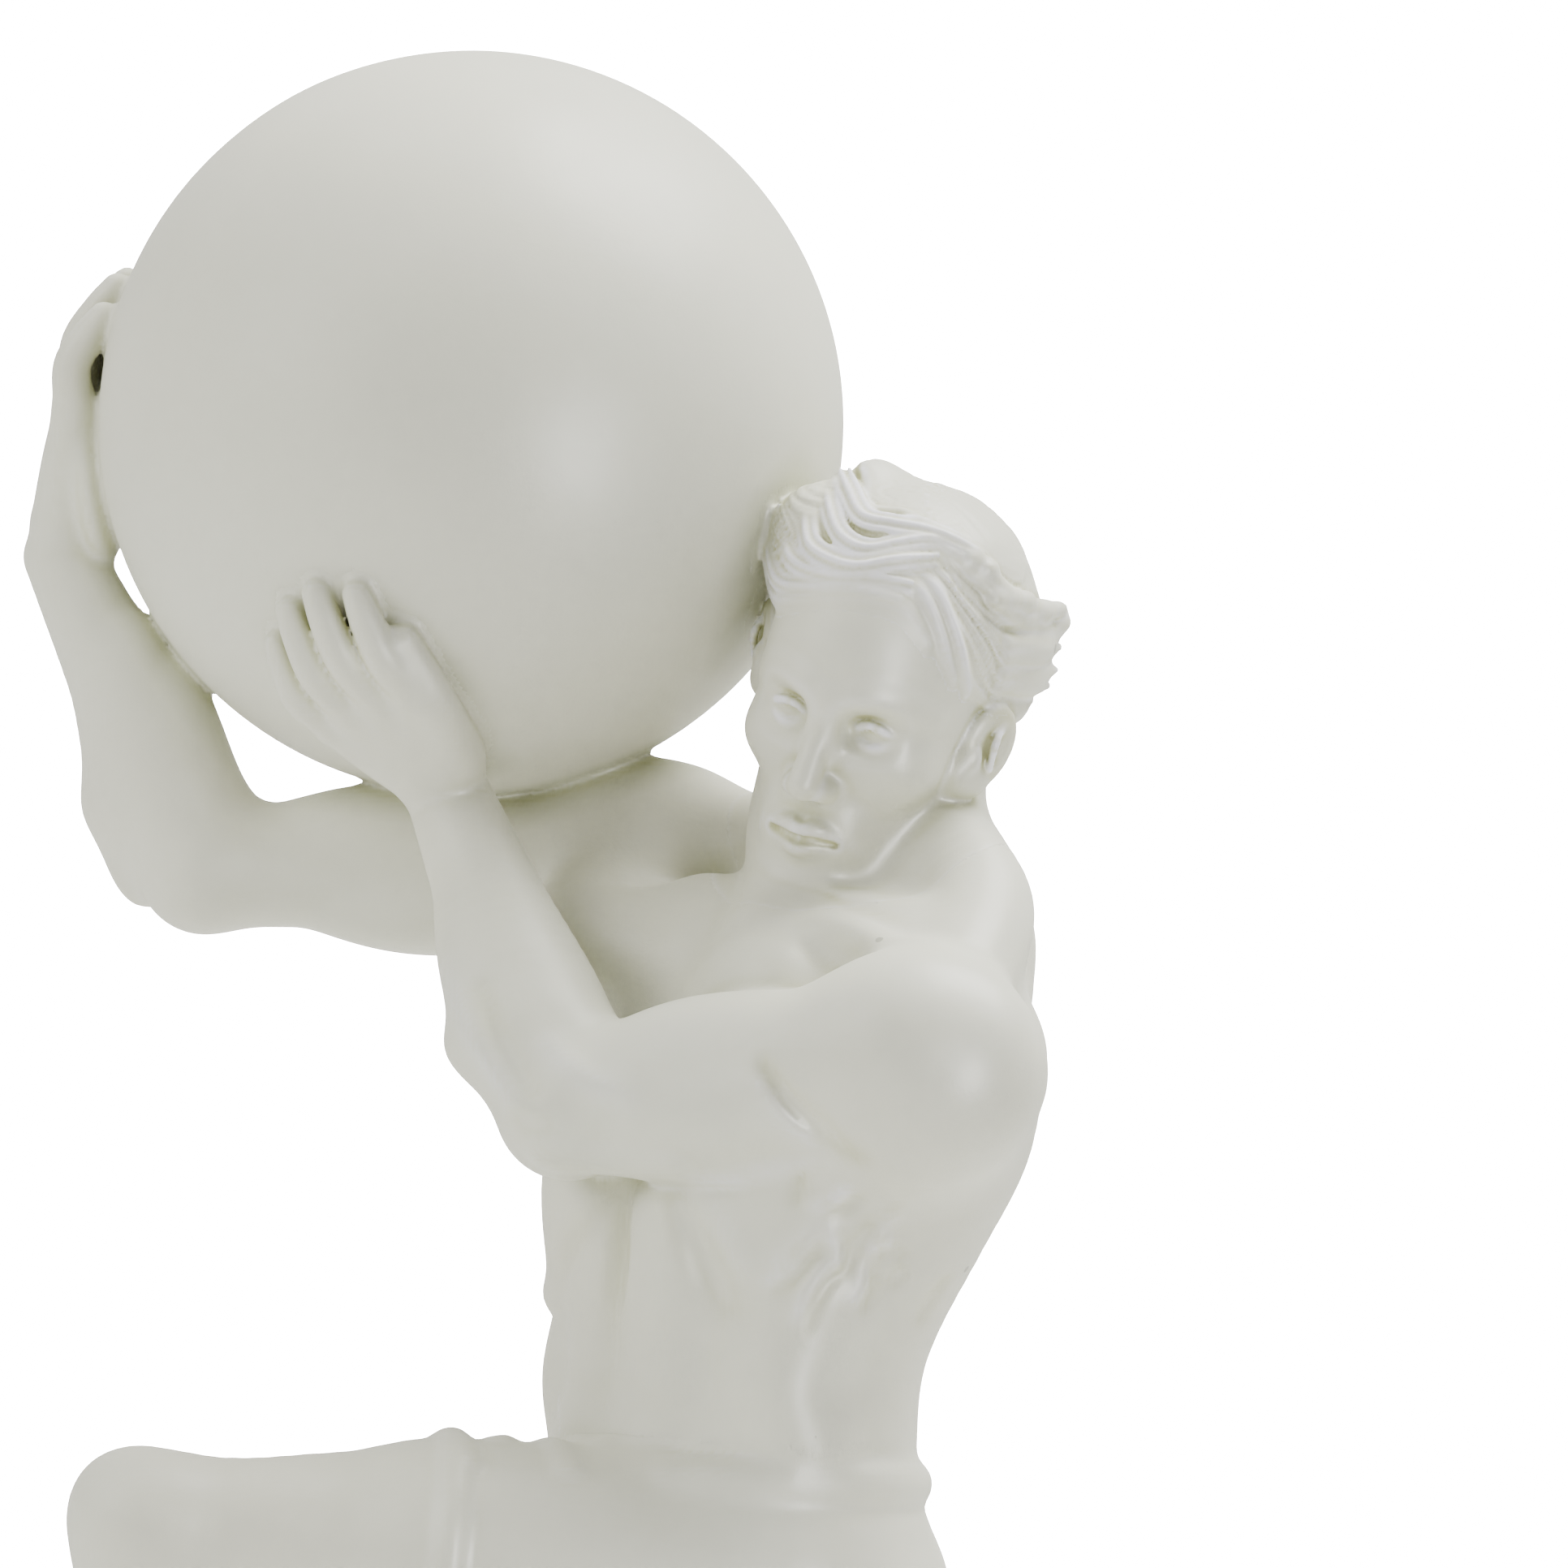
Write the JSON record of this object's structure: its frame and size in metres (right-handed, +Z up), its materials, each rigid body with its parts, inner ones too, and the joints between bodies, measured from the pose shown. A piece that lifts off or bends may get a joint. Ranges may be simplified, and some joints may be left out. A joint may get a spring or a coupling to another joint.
{
  "type": "atlas statue",
  "caption": "White ceramic statue of a kneeling muscular man in a loincloth who holds a large plain globe on his shoulder, on a low stepped plinth.",
  "frame": {"origin": "centre of the overall box at the plinth's flat underside", "axes": "+Z up, -Y towards the picture's viewer, +X to the viewer's right"},
  "size_m": [0.3452, 0.2138, 0.5304],
  "materials": {
    "white_ceramic": "satin",
    "plinth_ceramic": "satin"
  },
  "bodies": {
    "root": {"atlas_with_globe": "white_ceramic", "plinth": "plinth_ceramic"}
  },
  "joints": []
}
